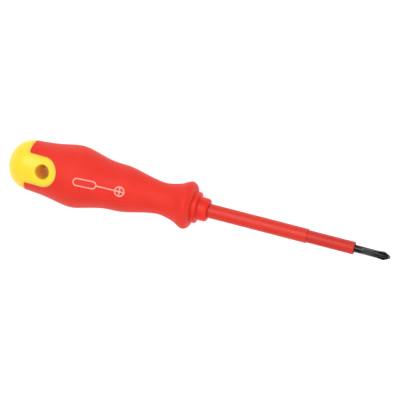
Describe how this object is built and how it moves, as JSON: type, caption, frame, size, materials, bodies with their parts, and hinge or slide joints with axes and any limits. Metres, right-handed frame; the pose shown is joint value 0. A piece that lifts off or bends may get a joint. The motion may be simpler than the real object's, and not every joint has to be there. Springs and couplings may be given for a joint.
{
  "type": "insulated screwdriver",
  "caption": "Insulated cross-point screwdriver with a sleeved fixed blade, a stepped nose collar, a soft swelling grip with a guard, and a bare domed butt with a hanging hole.",
  "frame": {"origin": "centre of the small flat at the blade's tip", "axes": "+X along the tool's axis and out of the tip, so the tool lies in negative X; +Z out of the upper mouth of the hanging hole, on the side with the printed mark; +Y completes a right-handed frame"},
  "size_m": [0.1596, 0.0254, 0.0254],
  "materials": {
    "blade_steel": "black-oxide alloy steel, satin, with a faint streaky sheen along the flutes",
    "thin_insulation": "inner insulation of the blade, smooth red plastic, half gloss",
    "thick_insulation": "outer insulation of the blade, smooth red plastic, half gloss",
    "collar_plastic": "moulded red plastic, satin",
    "core_plastic": "hard moulded plastic, hidden inside the handle",
    "body_plastic": "hard yellow plastic, smooth, half gloss",
    "grip_rubber": "soft red thermoplastic rubber, matt, very fine texture",
    "mark_ink": "thin pale printing ink on the grip"
  },
  "bodies": {
    "root": {"blade": "blade_steel", "inner_sleeve": "thin_insulation", "outer_sleeve": "thick_insulation", "nose_collar": "collar_plastic", "inner_core": "core_plastic", "handle_body": "body_plastic", "grip": "grip_rubber", "size_mark": "mark_ink"}
  },
  "joints": []
}
